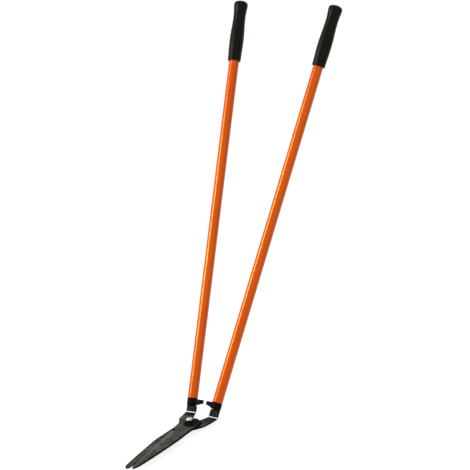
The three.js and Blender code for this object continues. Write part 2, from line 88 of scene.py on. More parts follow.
# Tubes, grips, collars and buffers
TUBE_RADIUS = 11
TUBE_WALL = 1.2
TUBE_SHOWN = 742
GRIP_LENGTH = 136.4
GRIP_BELLY = 30.7
GRIP_END_WALL = 11
COLLAR_HEIGHT = 15
COLLAR_ROUND = 2.5
SPIGOT_HEIGHT = 12
NOSE_DROP = 0.9
NOSE_DEPTH = 7
NOSE_END_HEIGHT = 8.3
NOSE_ROOT_HEIGHT = 12.8
NOSE_ROUND = 0.9
CLOSED_BUFFER_GAP = 0.4
BUFFER_LENGTH = 5.5
BUFFER_ROUND = 0.8
PEG_RADIUS = 1.5
PEG_LENGTH = 4.5
SLEEVE_LENGTH = 45
PIN_RADIUS = 2

# Pivot; washers and the spring are (diameter, thickness)
BOLT_RADIUS = 5
BOLT_HEAD_FLATS = 16
BOLT_HEAD_HEIGHT = 5
CHAMFER = 0.8
HEXAGON_ROUND = 0.15
BOLT_PROUD = 0.8
BUSH_WALL = 1.7
HEAD_WASHER = (22, 1.6)
COVER_WASHER = (28, 1.1)
SPRING = (23, 0.9)
SPRING_DISH = 0.5
NUT_FLATS = 17
NUT_HEX_HEIGHT = 4.2
NUT_COLLAR_RADIUS = 7.3
NUT_COLLAR_HEIGHT = 1.9
NUT_COLLAR_WALL = 0.9
NUT_COLLAR_ROUND = 0.9
INSERT_HEIGHT = 1.3

# Sides of round forms
GRIP_SIDES = 128
RING_SIDES = 96
BORE_SIDES = 72
PIN_SIDES = 32

# What counts as nothing, and the most of an edge that a rounded corner may take
TINY = 1e-6
FILLET_LIMIT = 0.45

# Places that follow from the sizes
HEAD_WASHER_Z = BOLT_HEAD_HEIGHT + SEAT
LOWER_Z = HEAD_WASHER_Z + HEAD_WASHER[1] + SEAT
UPPER_Z = LOWER_Z + PLATE + BLADE_GAP
COVER_Z = UPPER_Z + PLATE + SEAT
SPRING_Z = COVER_Z + COVER_WASHER[1] + SEAT
NUT_Z = SPRING_Z + SPRING[1] + SPRING_DISH + SEAT
NUT_TOP_Z = NUT_Z + NUT_HEX_HEIGHT + NUT_COLLAR_HEIGHT
BORE_RADIUS = BOLT_RADIUS + FIT
LEVER_BORE_RADIUS = BORE_RADIUS + BUSH_WALL + FIT
PLUG_RADIUS = TUBE_RADIUS - TUBE_WALL - FIT
BEND_START = BEND_REACH - BEND_INNER * math.tan(HANDLE_RISE / 2)
BEND_MIDDLE = BEND_INNER + PLATE / 2
BEND_LENGTH = BEND_MIDDLE * HANDLE_RISE
LOWER_RISE = BAR_RISE + (PLATE + BLADE_GAP) * math.sin(HANDLE_RISE)


# Node materials

class Nodes:
    """One material's node tree, with a short call for each kind of node in use."""

    def __init__(self, name):
        self.material = bpy.data.materials.new(name)
        self.material.use_nodes = True
        self.tree = self.material.node_tree
        self.shader = self.tree.nodes["Principled BSDF"]
        self.place = self.add("TexCoord").outputs["Object"]

    def add(self, kind, inputs=None, **settings):
        """A new node, with its settings made and its inputs fed."""
        node = self.tree.nodes.new("ShaderNode" + kind)
        for name, value in settings.items():
            setattr(node, name, value)
        for key, value in (inputs or {}).items():
            self.feed(node.inputs[key], value)
        return node

    def feed(self, socket, value):
        """Gives a socket a number, a colour, a vector or another node's output."""
        if isinstance(value, (int, float)):
            socket.default_value = value
        elif isinstance(value, tuple):
            socket.default_value = (*value, 1)[:len(socket.default_value)]
        else:
            self.tree.links.new(value, socket)

    def set(self, **values):
        """Feeds the shader's own sockets."""
        for key, value in values.items():
            self.feed(self.shader.inputs[key.replace("_", " ")], value)

    def noise(self, scale, detail, rough, stretch=(1, 1, 1), distortion=0.0):
        place = self.add("Mapping", {"Vector": self.place, "Scale": stretch}).outputs["Vector"]
        return self.add("TexNoise", {
            "Vector": place, "Scale": scale, "Detail": detail, "Roughness": rough,
            "Distortion": distortion,
        }).outputs["Fac"]

    def ramp(self, source, *stops):
        """The source's value as a colour, from (value, colour) stops."""
        node = self.add("ValToRGB", {"Fac": source})
        elements = node.color_ramp.elements
        while len(elements) < len(stops):
            elements.new(0.5)
        for element, (place, colour) in zip(elements, stops):
            element.position = place
            element.color = (*colour, 1)
        return node.outputs["Color"]

    def scale(self, source, low, high, span=(0, 1)):
        """The source, clamped to a span and stretched to reach from low to high."""
        return self.add("MapRange", {
            "Value": source, "From Min": span[0], "From Max": span[1], "To Min": low,
            "To Max": high,
        }).outputs["Result"]

    def math(self, operation, first, second):
        return self.add("Math", {0: first, 1: second}, operation=operation).outputs["Value"]

    def mix(self, factor, first, second):
        """The second colour over the first one."""
        colours = {0: factor, 6: first, 7: second}
        return self.add("Mix", colours, data_type="RGBA").outputs[2]

    def attribute(self, name):
        return self.add("Attribute", attribute_name=name).outputs["Fac"]

    def around(self, spot, near, far):
        """1 within the near distance of a line along Z, 0 past the far one, all in mm."""
        flat = self.add("VectorMath", {0: self.place, 1: (1, 1, 0)}, operation="MULTIPLY")
        centre = (spot[0] * MM, spot[1] * MM, 0)
        gap = self.add("VectorMath", {0: flat.outputs["Vector"], 1: centre}, operation="DISTANCE")
        return self.scale(gap.outputs["Value"], 1, 0, span=(near * MM, far * MM))

    def edges(self, radius=0.0006):
        """1 on sharp edges, 0 on flats."""
        bevelled = self.add("Bevel", {"Radius": radius}).outputs["Normal"]
        plain = self.add("NewGeometry").outputs["Normal"]
        match = self.add("VectorMath", {0: bevelled, 1: plain}, operation="DOT_PRODUCT")
        return self.scale(match.outputs["Value"], 1, 0, span=(0.8, 0.98))

    def bump(self, height, strength, distance):
        node = self.add("Bump", {"Height": height, "Strength": strength, "Distance": distance})
        self.set(Normal=node.outputs["Normal"])


# Marks on the points of a lever's mesh, which its material reads. The scale mark carries painted
# shade along with the shanks' black scale
MARKS = ("ground", "rim", "wear", "scale")

# Colours of the levers' steel
SKIN_DARK = (0.022, 0.0225, 0.016)
SKIN_MIDDLE = (0.063, 0.063, 0.05)
SKIN_LIGHT = (0.13, 0.129, 0.108)
SKIN_CLOUD = (0.045, 0.045, 0.035)
GROUND_DARK = (0.1, 0.1, 0.092)
GROUND_LIGHT = (0.19, 0.19, 0.176)
# The shanks' black scale with painted shade
SHANK_SHADE_DARK = (0.003, 0.003, 0.0025)
SHANK_SHADE_LIGHT = (0.02, 0.02, 0.017)
# Painted shade on the plates' rims, mating edges and cut walls
RIM_SHADE_BLACK = (0.004, 0.004, 0.0035)
# Painted shadow round the pivot and painted shade in the notch
SHADOW_BLACK = (0.003, 0.003, 0.0025)
# Painted highlight on the upper lever's shank
HIGHLIGHT_GREY = (0.17, 0.17, 0.155)
# Painted highlight along the bends
GLINT_BRIGHT = (0.62, 0.64, 0.61)

# The range of the steel's mixed noise that its colours are spread over
SPOTS = (0.42, 0.58)

# Single spots of painted highlight and painted shadow on the levers: place, near and far distance
SHANK_HIGHLIGHT = ((-32, 17), 2, 10)
PIVOT_SHADOW = ((7, -1), 14, 23)
# Painted shade in the upper lever's notch and on the blade seen through it
NOTCH_SHADE = [(spot, 2.3, 3.9) for spot in ((-11.9, -40.9), (-14, -38.1), (-16.1, -35.3))]


def blade_material():
    n = Nodes("blade_steel")
    blotch = n.noise(55, 6, 0.66, distortion=0.15)
    mottle = n.noise(190, 4, 0.65, distortion=0.2)
    streak = n.noise(120, 4, 0.6, stretch=(1, 0.14, 1))
    cloud = n.noise(12, 3, 0.5)
    grain = n.noise(700, 2, 0.6, stretch=(1, 0.15, 1))
    lines = n.noise(70, 2, 0.5, stretch=(1, 0.04, 1))
    spots = n.math("ADD", n.math("MULTIPLY", blotch, 0.4), n.math("MULTIPLY", mottle, 0.3))
    spots = n.math("ADD", spots, n.math("MULTIPLY", streak, 0.3))
    # Mottled skin, the ground strip along the edge, and the shanks' black scale, deepened by
    # painted shade that also falls on the blade's back
    skin = n.ramp(spots, (SPOTS[0], SKIN_DARK), (0.5, SKIN_MIDDLE), (SPOTS[1], SKIN_LIGHT))
    skin = n.mix(n.scale(cloud, 0, 0.3, span=(0.38, 0.66)), skin, SKIN_CLOUD)
    polished = n.ramp(lines, (0.3, GROUND_DARK), (0.7, GROUND_LIGHT))
    colour = n.mix(n.attribute("ground"), skin, polished)
    dark = n.ramp(spots, (SPOTS[0], SHANK_SHADE_DARK), (SPOTS[1], SHANK_SHADE_LIGHT))
    colour = n.mix(n.attribute("scale"), colour, dark)
    # A painted highlight where the upper lever's shank leaves the boss
    glint_share = n.math("MULTIPLY", n.around(*SHANK_HIGHLIGHT), n.scale(mottle, 0.3, 0.8, span=(0.4, 0.6)))
    colour = n.mix(glint_share, colour, HIGHLIGHT_GREY)
    # Painted shade on the rims, and a painted highlight along the bends
    colour = n.mix(n.attribute("rim"), colour, RIM_SHADE_BLACK)
    glint = n.math("MULTIPLY", n.attribute("wear"), n.scale(grain, 0.8, 1.0))
    colour = n.mix(glint, colour, GLINT_BRIGHT)
    # A painted shadow round the pivot, cast by the nut, with a ragged edge, and painted shade in
    # the upper lever's notch
    painted_shadow = n.math("ADD", n.around(*PIVOT_SHADOW), n.math("MULTIPLY", mottle, 0.4))
    painted_shadow = n.scale(painted_shadow, 0, 0.85, span=(0.5, 0.9))
    for spot in NOTCH_SHADE:
        painted_shadow = n.math("MAXIMUM", painted_shadow, n.around(*spot))
    colour = n.mix(painted_shadow, colour, SHADOW_BLACK)
    darkened = n.math("MAXIMUM", n.math("SUBTRACT", n.attribute("scale"), glint_share), painted_shadow)
    bare = n.math("MAXIMUM", n.scale(darkened, 0.5, 0.08), glint)
    rough = n.scale(spots, 0.36, 0.5, span=SPOTS)
    n.set(Base_Color=colour, Metallic=bare, Roughness=rough, Specular_IOR_Level=0.04,
          Specular_Tint=(0.4, 0.4, 0.38))
    n.bump(n.math("ADD", grain, n.math("MULTIPLY", spots, 2)), 0.15, 0.0002)
    return n.material


def enamel_material():
    n = Nodes("orange_enamel")
    peel = n.noise(420, 2, 0.5)
    cloud = n.noise(6, 3, 0.5)
    colour = n.ramp(cloud, (0.3, (0.54, 0.044, 0.0)), (0.7, (0.59, 0.054, 0.0)))
    n.set(Base_Color=colour, Roughness=n.scale(peel, 0.19, 0.23), Specular_IOR_Level=0.5,
          Specular_Tint=(1, 0.95, 0.18))
    n.bump(peel, 0.02, 0.0001)
    return n.material


def rubber_material():
    n = Nodes("grip_rubber")
    fine = n.noise(1600, 2, 0.6)
    cloud = n.noise(30, 3, 0.5)
    colour = n.ramp(cloud, (0.3, (0.0007, 0.0006, 0.0002)), (0.7, (0.0017, 0.0015, 0.0006)))
    n.set(Base_Color=colour, Roughness=n.scale(fine, 0.34, 0.42), Specular_IOR_Level=0.1,
          Specular_Tint=(1, 0.95, 0.7))
    n.bump(fine, 0.25, 0.00012)
    return n.material


def nylon_material(name, base, fleck, low, high):
    """A moulded plastic between two colours, its roughness between low and high."""
    n = Nodes(name)
    fine = n.noise(1100, 3, 0.6)
    colour = n.ramp(fine, (0.3, base), (0.7, fleck))
    n.set(Base_Color=colour, Roughness=n.scale(fine, low, high), Specular_IOR_Level=0.025)
    n.bump(fine, 0.2, 0.0001)
    return n.material


def metal_material(name, base, dull, low, high):
    """A bare metal with painted shade where it is marked dark, but for its edges."""
    n = Nodes(name)
    cloud = n.noise(240, 3, 0.55)
    fine = n.noise(2200, 2, 0.5)
    colour = n.ramp(cloud, (0.3, dull), (0.65, base))
    shadow = n.math("MULTIPLY", n.attribute("dark"), n.scale(n.edges(0.0008), 1, 0.15))
    colour = n.mix(shadow, colour, (0.03, 0.03, 0.03))
    n.set(Base_Color=colour, Roughness=n.scale(cloud, high, low), Metallic=1)
    n.bump(fine, 0.08, 0.00005)
    return n.material


def steel_dark_material(name, glint_share):
    """A blackened steel, its edges lightened by the glint share, partly edge wear and partly a
    painted glint.
    """
    n = Nodes(name)
    cloud = n.noise(160, 3, 0.55)
    fine = n.noise(1800, 2, 0.5)
    colour = n.ramp(cloud, (0.3, (0.003, 0.003, 0.003)), (0.7, (0.007, 0.007, 0.0065)))
    glint = n.math("MULTIPLY", n.edges(), n.scale(cloud, 0, glint_share, span=(0.35, 0.6)))
    colour = n.mix(glint, colour, (0.6, 0.6, 0.58))
    n.set(Base_Color=colour, Roughness=n.scale(cloud, 0.36, 0.5), Metallic=glint,
          Specular_IOR_Level=0.01)
    n.bump(fine, 0.1, 0.00005)
    return n.material


BLADE_STEEL = blade_material()
ENAMEL = enamel_material()
GRIP = rubber_material()
NYLON = nylon_material(
    "black_nylon", (0.0025, 0.0025, 0.002), (0.005, 0.005, 0.0045), 0.34, 0.44)
BUFFER = nylon_material(
    "buffer_rubber", (0.003, 0.003, 0.0025), (0.006, 0.006, 0.0055), 0.5, 0.62)
WHITE_NYLON = nylon_material("white_nylon", (0.55, 0.6, 0.68), (0.62, 0.67, 0.75), 0.4, 0.5)
ZINC = metal_material("zinc_plate", (0.55, 0.55, 0.57), (0.36, 0.36, 0.38), 0.16, 0.34)
BRONZE = metal_material("bronze", (0.62, 0.42, 0.2), (0.5, 0.33, 0.15), 0.25, 0.4)
DARK_STEEL = steel_dark_material("black_steel", 0.1)
# The disc spring's edges are lightened strongly: edge wear with painted glints
SPRING_STEEL = steel_dark_material("black_steel_edge_glint", 0.9)


# Scene and mesh helpers

def put(name, data):
    """A new object in the scene, from a mesh, a lamp or a camera."""
    item = bpy.data.objects.new(name, data)
    bpy.context.scene.collection.objects.link(item)
    return item


def add_piece(name, mesh, material, body, node, angle=35):
    """Puts a finished mesh, in metres, into the scene in place of its CAD node."""
    mesh.materials.clear()
    mesh.materials.append(material)
    mesh.shade_smooth()
    mesh.set_sharp_from_angle(angle=angle * DEGREE)
    piece = put(name, mesh)
    weighted = piece.modifiers.new("normals", "WEIGHTED_NORMAL")
    weighted.keep_sharp = True
    weighted.weight = 80
    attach(piece, body)
    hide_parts(node)


def mesh_from(points, faces, matrix=None):
    """A mesh in metres from points in millimetres, its faces turned outwards."""
    mesh = bpy.data.meshes.new("shape")
    if matrix is not None:
        points = [matrix @ Vector(p) for p in points]
    mesh.from_pydata([Vector(p) * MM for p in points], [], faces)
    work = bmesh.new()
    work.from_mesh(mesh)
    bmesh.ops.recalc_face_normals(work, faces=work.faces)
    work.to_mesh(mesh)
    work.free()
    return mesh


def mark_points(mesh, name, values):
    """Writes one value for each point of the mesh."""
    layer = mesh.attributes.new(name, "FLOAT", "POINT")
    layer.data.foreach_set("value", values)


def revolved(profile, sides, matrix=None):
    """A solid round Z from (radius, height) points, closed on itself or on the axis."""
    points, rings, faces = [], [], []
    for radius, height in profile:
        if radius < TINY:
            rings.append([len(points)])
            points.append((0, 0, height))
        else:
            rings.append(list(range(len(points), len(points) + sides)))
            for i in range(sides):
                turn = 2 * math.pi * i / sides
                points.append((radius * math.cos(turn), radius * math.sin(turn), height))
    pairs = list(zip(rings, rings[1:]))
    if len(rings[0]) > 1 and len(rings[-1]) > 1:
        pairs.append((rings[-1], rings[0]))
    for low, high in pairs:
        for i in range(sides):
            j = (i + 1) % sides
            quad = [low[i % len(low)], low[j % len(low)], high[j % len(high)], high[i % len(high)]]
            face = [corner for k, corner in enumerate(quad) if corner != quad[k - 1]]
            if len(face) > 2:
                faces.append(face)
    return mesh_from(points, faces, matrix)


def prism(outline, low, high, matrix=None):
    """An outline in X and Y, raised from low to high in Z."""
    count = len(outline)
    points = [(x, y, low) for x, y in outline] + [(x, y, high) for x, y in outline]
    faces = [list(range(count))[::-1], list(range(count, 2 * count))]
    for i in range(count):
        j = (i + 1) % count
        faces.append([i, j, count + j, count + i])
    return mesh_from(points, faces, matrix)


def rod(radius, low, high, sides, matrix=None):
    return revolved([(0, low), (radius, low), (radius, high), (0, high)], sides, matrix)


def applied(item, helpers=()):
    """The item's mesh under its modifiers. The item and its helpers are removed."""
    bpy.context.view_layer.update()
    graph = bpy.context.evaluated_depsgraph_get()
    result = bpy.data.meshes.new_from_object(item.evaluated_get(graph))
    for used in (item, *helpers):
        bpy.data.objects.remove(used)
    return result


def cut(mesh, tools, operation="DIFFERENCE"):
    """The mesh less the tool meshes, or joined or crossed with them."""
    target = put("target", mesh)
    helpers = [put("tool", tool) for tool in tools]
    for helper in helpers:
        modifier = target.modifiers.new("cut", "BOOLEAN")
        modifier.operation = operation
        modifier.solver = "EXACT"
        modifier.object = helper
    return applied(target, helpers)


def softened(mesh, width, segments, angle=30):
    """The mesh with every edge sharper than the angle bevelled."""
    item = put("soften", mesh)
    bevel = item.modifiers.new("bevel", "BEVEL")
    bevel.width = width * MM
    bevel.segments = segments
    bevel.limit_method = "ANGLE"
    bevel.angle_limit = angle * DEGREE
    bevel.use_clamp_overlap = True
    bevel.miter_outer = "MITER_ARC"
    return applied(item)


# Curves, as lists of points

def arc(centre, reach_x, reach_y, start, end, steps):
    """Points on an ellipse, from a start to an end that are given in half turns."""
    turns = [(start + (end - start) * step / steps) * math.pi for step in range(steps + 1)]
    return [(centre[0] + reach_x * math.cos(t), centre[1] + reach_y * math.sin(t)) for t in turns]


def filleted(profile, radius, steps, closed=True):
    """The profile with rounded corners. A corner may name its own radius as a third value."""
    rounded = []
    count = len(profile)
    for i, corner in enumerate(profile):
        own = corner[2] if len(corner) > 2 else radius
        here = Vector(corner[:2])
        if own < TINY or (not closed and i in (0, count - 1)):
            rounded.append(tuple(here))
            continue
        before = Vector(profile[i - 1][:2]) - here
        after = Vector(profile[(i + 1) % count][:2]) - here
        reach = min(
            own / math.tan(before.angle(after) / 2), before.length * FILLET_LIMIT,
            after.length * FILLET_LIMIT,
        )
        start = here + before.normalized() * reach
        end = here + after.normalized() * reach
        for step in range(steps + 1):
            t = step / steps
            rounded.append(tuple(start * (1 - t) ** 2 + here * 2 * t * (1 - t) + end * t ** 2))
    return rounded


def spline(points, per_span):
    """A uniform Catmull-Rom curve through the points."""
    curve = []
    last = len(points) - 1
    for i in range(last):
        span = (points[max(i - 1, 0)], points[i], points[i + 1], points[min(i + 2, last)])
        for step in range(per_span):
            t = step / per_span
            value = []
            for a, b, c, d in zip(*span):
                v0, v1 = (c - a) / 2, (d - b) / 2
                cubic = (2 * b - 2 * c + v0 + v1) * t ** 3
                value.append(cubic + (3 * c - 3 * b - 2 * v0 - v1) * t ** 2 + v0 * t + b)
            curve.append(tuple(value))
    curve.append(tuple(points[-1]))
    return curve


def along_curve(curve, count):
    """Count points, evenly spaced along a polyline."""
    lengths = [0.0]
    for a, b in zip(curve, curve[1:]):
        lengths.append(lengths[-1] + math.dist(a, b))
    spots, span = [], 0
    for i in range(count):
        want = lengths[-1] * i / (count - 1)
        while span < len(lengths) - 2 and lengths[span + 1] < want:
            span += 1
        t = (want - lengths[span]) / max(lengths[span + 1] - lengths[span], 1e-9)
        spots.append(tuple(a + (b - a) * t for a, b in zip(curve[span], curve[span + 1])))
    return spots


def split_at(curve, height):
    """The curve in two, at its first point that is as high as that along Y."""
    first = next(i for i, p in enumerate(curve) if p[1] >= height)
    return curve[:first + 1], curve[first:]


def x_at(curve, y):
    """Where the curve crosses a height, or its nearer end."""
    for a, b in zip(curve, curve[1:]):
        if min(a[1], b[1]) <= y <= max(a[1], b[1]) and a[1] != b[1]:
            return a[0] + (b[0] - a[0]) * (y - a[1]) / (b[1] - a[1])
    return curve[0][0] if abs(y - curve[0][1]) < abs(y - curve[-1][1]) else curve[-1][0]


def share(value):
    return min(max(value, 0), 1)


# Places of the levers and handles

def lever_matrix(side):
    """Puts a lever whose pivot is at the origin into the rest pose."""
    height = UPPER_Z if side < 0 else LOWER_Z
    turn = Matrix.Rotation(-side * REST_HALF_OPENING, 4, "Z")
    return Matrix.Translation((0, 0, height)) @ turn


def on_bend(across, up, along):
    """A point of the bar: across the plate, up from its lower face, and along it from the bend."""
    radius = BEND_INNER + PLATE - up
    turn = min(max(0.0, along), BEND_LENGTH) / BEND_MIDDLE
    past = max(0.0, along - BEND_LENGTH)
    return Vector((
        across,
        BEND_START + min(0.0, along) + radius * math.sin(turn) + past * math.cos(HANDLE_RISE),
        PLATE + BEND_INNER - radius * math.cos(turn) + past * math.sin(HANDLE_RISE),
    ))


def handle_origin(side):
    """Where the tube's axis meets the end of the bend, in the lever's frame."""
    across = side * (BAR_OFFSET + BEND_LENGTH * math.tan(HANDLE_SPLAY))
    return on_bend(across, PLATE / 2 + TANG_SETBACK, BEND_LENGTH)


def plane_matrix(side):
    """The frame of the raised plane that the handle lies in."""
    tilt = Matrix.Rotation(HANDLE_RISE - math.pi / 2, 4, "X")
    return lever_matrix(side) @ Matrix.Translation(handle_origin(side)) @ tilt


def handle_matrix(side):
    """The frame of the tube, with Z along its axis."""
    return plane_matrix(side) @ Matrix.Rotation(side * HANDLE_SPLAY, 4, "Y")


def heights(side):
    """Heights of the handle's pieces along the tube's axis."""
    rise = BAR_RISE if side < 0 else LOWER_RISE
    collar_low = rise + SEAT
    collar_top = collar_low + COLLAR_HEIGHT
    spigot_top = collar_top + SPIGOT_HEIGHT
    sleeve_low = spigot_top + SEAT
    tube_low = collar_top + SEAT
    grip_low = tube_low + TUBE_SHOWN
    return {
        "rise": rise, "collar_low": collar_low, "collar_top": collar_top,
        "spigot_top": spigot_top, "sleeve_top": sleeve_low + SLEEVE_LENGTH,
        "pin": sleeve_low + SLEEVE_LENGTH / 2, "tube_low": tube_low, "grip_low": grip_low,
        "tube_top": grip_low + GRIP_LENGTH - GRIP_END_WALL - SEAT,
    }


# Levers: sections across a strip that runs from the blade's tip to the tang's end.
# The outlines' tables are shares of the sizes named in side_curves.

BAR_OUTER = BAR_OFFSET + BAR_WIDTH / 2
BAR_INNER = BAR_OFFSET - BAR_WIDTH / 2
STRAIGHT = BEND_START - BEND_INNER
SHANK_OUTER = {
    -1: [
        (0.974, 0.699), (0.949, 0.506), (0.941, 0.337), (0.905, 0.231), (0.81, 0.084),
        (0.702, -0.058), (0.64, -0.164),
    ],
    1: [
        (0.982, 0.665), (0.956, 0.482), (0.918, 0.265), (0.843, 0.031), (0.722, -0.149),
        (0.591, -0.32),
    ],
}
THROAT_OUTER = {
    -1: [(1.246, 0.326), (1.23, 0.516), (1.188, 0.761)],
    1: [(1.047, 0.467), (0.984, 0.652)],
}
SHANK_INNER = [(0.62, 0.58)]
HEEL = [(0.8, -0.05), (0.97, -0.012), (1, 0.036)]
SPINE = {
    -1: [
        (0.94, 0.115), (0.9, 0.15), (0.868, 0.21), (0.84, 0.333), (0.74, 0.463), (0.612, 0.6),
        (0.43, 0.77), (0.27, 0.89), (0.16, 0.95),
    ],
    1: [
        (1.024, 0.1), (1.033, 0.245), (1.037, 0.373), (1.012, 0.441), (0.927, 0.505),
        (0.829, 0.578), (0.728, 0.652), (0.634, 0.728), (0.528, 0.801), (0.423, 0.873),
        (0.333, 0.922), (0.276, 0.953), (0.175, 0.98),
    ],
}
# The boss's arc, in half turns
BOSS_START, BOSS_END = 0.28, 0.575
# Where the throat ends and where the boss ends, as shares of the bend's reach
THROAT_END, BOSS_TOP = -0.06, 0.18

# Sections along the blade, first by their distance from the tip and then evenly
TIP_SECTIONS = [0.03, 0.1, 0.25, 0.5, 0.8, 1.2, 1.7, 2.3, 3, 4, 5.5, 7.5, 10, 13]
BLADE_SECTIONS = 44
THROAT_SECTIONS = 30
SHANK_SECTIONS = 22
BEND_SECTIONS = 16

# Parts of a section as (size, the most it takes of a narrow section's width): the slight
# break of the inner face's edges, the rounding of the outer ones, and the points beside them
INNER_BREAK = (0.12, 0.2)
OUTER_ROUND = (0.45, 0.3)
INNER_INSET = (1, 0.2)
RIDGE = (GRIND_WIDTH, 0.7)
RIM_SHARE = 0.12
RIM_CLEARANCE = 0.02
END_ROUND_SHARE = 0.4
ROUND_STEPS = 4

# Marks across a section as (share of the width, mark): on the ground strip, past it, on a rim,
# where the mark is painted shade
GROUND_MARKS = ((0.05, 0.7), (0.25, 1), (0.5, 1), (0.75, 1), (1, 1))
PAST_GROUND_MARKS = ((0.05, 0.6), (0.12, 0))
RIM_MARKS = ((0.3, 0.8), (0.6, 0.4), (1, 0))
# How strongly the edge is ground at the tip, and how that grows to 1 at the heel
TIP_GROUND, GROUND_GROWTH = 0.1, 0.8
# Width of the rim's painted shade, and the painted shade marks on the inner face's two edges
BAR_RIM = (0.5, (0, 0))
BLADE_RIM = {-1: (1.6, (0, 0)), 1: (0.3, (1, 0.35))}
# Along Y, where the shank's black scale and painted shade begin and where they are full
SHANK_SHADE_SPAN = {-1: (18, 30), 1: (-6, 22)}
# The painted shade on the blade's back, and the distance from the pivot where it is full
BACK_SHADE, BACK_SHADE_REACH = 0.5, 40

# A painted highlight runs along the bend's middle, by a power of a sine
GLINT_POWER = 0.7
# Distances past the bend and past the shoulder to the next section
PAST_BEND, PAST_SHOULDER = 0.8, 0.05
# Chamfers at the bar's shoulder and at the tang's end: along, across and through the plate
SHOULDER_CHAMFER = (0.3, 0.3, 0.15)
TANG_CHAMFER = (0.5, 0.4, 0.3)


def side_curves(side):
    """Outlines of the strip for a lever whose shank lies at +X: edge, spine, boss and shank."""
    straight_splay = (BEND_START - STRAIGHT) * math.tan(HANDLE_SPLAY)
    outer = [(BAR_OUTER - straight_splay, STRAIGHT)]
    outer += [(a * BAR_OUTER, b * BEND_REACH) for a, b in SHANK_OUTER[side]]
    outer += [(a * EDGE_HEEL[0], b * EDGE_HEEL[1]) for a, b in THROAT_OUTER[side]]
    outer = spline([*outer, EDGE_HEEL], 12)[::-1]
    spine = [(TIP_OFFSET - TIP_RADIUS / 2, -BLADE_REACH)]
    spine += [(-a * SPINE_OFFSET, -b * BLADE_REACH) for a, b in (HEEL + SPINE[side])[::-1]]
    boss = arc((0, 0), -BOSS_RADIUS, BOSS_RADIUS, BOSS_START, BOSS_END, 24)
    inner = [boss[-1], *[(a * BAR_INNER, b * BEND_REACH) for a, b in SHANK_INNER]]
    inner.append((BAR_INNER - straight_splay, STRAIGHT))
    return outer, spline(spine, 12), boss, spline(inner, 16)


def cutting_edge():
    """The tip's round end, the toe and the heel."""
    start = (TIP_OFFSET + TIP_RADIUS, -(BLADE_REACH - TIP_RADIUS))
    corner = (TIP_OFFSET + TIP_RADIUS / 2, -BLADE_REACH)
    end = (TIP_OFFSET - TIP_RADIUS / 2, -BLADE_REACH)
    tip = []
    for step in range(25):
        t = step / 24
        tip.append(tuple(
            a * (1 - t) ** 2 + b * 2 * t * (1 - t) + c * t ** 2
            for a, b, c in zip(start, corner, end)
        ))
    return [*tip[::-1], EDGE_TOE, EDGE_HEEL]


def strip_stations(side):
    """(edge-side point, spine-side point, ground share) from the tip to the bend's start."""
    outer, spine, boss, inner = side_curves(side)
    stations = []
    right = cutting_edge()
    low_spine, rest_spine = split_at(spine, EDGE_HEEL[1])
    length = BLADE_REACH + EDGE_HEEL[1]
    start = TIP_SECTIONS[-1]
    even = [start + (length - start) * (i + 1) / BLADE_SECTIONS for i in range(BLADE_SECTIONS)]
    for reach in TIP_SECTIONS + even:
        y = -BLADE_REACH + reach
        ground = TIP_GROUND + (1 - TIP_GROUND) * (reach / length) ** GROUND_GROWTH
        stations.append(((x_at(right, y), y), (x_at(low_spine, y), y), ground))
    # Heel to the boss, round the boss, and the shank
    throat, shank = split_at(outer, THROAT_END * BEND_REACH)
    beside_boss, beside_shank = split_at(shank, BOSS_TOP * BEND_REACH)
    for first, second, count in (
        (throat, [*rest_spine, boss[0]], THROAT_SECTIONS), (beside_boss, boss, SHANK_SECTIONS),
        (beside_shank, inner, SHANK_SECTIONS),
    ):
        spots = zip(along_curve(first, count), along_curve(second, count))
        stations += [(a, b, 0) for a, b in list(spots)[1:]]
    return stations


def cross_ring(right, left, ground, dark_border, mating):
    """Points round a section: x, y, height above the inner face, ground mark, painted shade mark of
    the rims.
    """
    right, left = Vector(right), Vector(left)
    width = (right - left).length
    inward = (left - right) / width
    inner, outer, inset, ridge, border = (
        min(size, width * limit)
        for size, limit in (INNER_BREAK, OUTER_ROUND, INNER_INSET, RIDGE, (dark_border, RIM_SHARE))
    )

    def spot(depth, height, mark=0.0, rim=0.0):
        place = right + inward * depth
        return (place.x, place.y, height, mark, rim)

    def skin(depth):
        """Height of the outer face, which falls to the cutting edge where it is ground."""
        slope = EDGE_LAND + depth * (PLATE - EDGE_LAND) / GRIND_WIDTH
        return min(PLATE, slope) if ground else PLATE

    ring = [spot(inner + inset, 0), spot(inner, 0, 0, mating[0]), spot(0, inner, 0, 1)]
    if ground:
        depths = [(ridge * t, mark) for t, mark in GROUND_MARKS]
        depths += [(ridge + (width - ridge) * t, mark) for t, mark in PAST_GROUND_MARKS]
        ring.append(spot(0, skin(0), 0, 1))
        ring += [spot(depth, skin(depth), ground * mark) for depth, mark in depths]
    else:
        corner = arc((outer, PLATE - outer), -outer, outer, 0, 0.5, ROUND_STEPS)
        ring += [spot(depth, height, 0, 1) for depth, height in corner]
        ring += [spot(outer + t * border, PLATE, 0, mark) for t, mark in RIM_MARKS]
    top = skin(width)
    edge = min(outer, top * END_ROUND_SHARE)
    for t, mark in RIM_MARKS[::-1]:
        depth = width - edge - RIM_CLEARANCE - t * border
        ring.append(spot(depth, skin(depth), 0, mark))
    corner = arc((width - edge, top - edge), edge, edge, 0.5, 0, ROUND_STEPS)
    ring += [spot(depth, height, 0, 1) for depth, height in corner]
    ring += [spot(width, inner, 0, 1), spot(width - inner, 0, 0, mating[1])]
    return [*ring, spot(width - inner - inset, 0)]


def plate_height(side, height):
    """Height in the plate of a point above its inner face, which is the lower lever's top."""
    return height if side < 0 else PLATE - height


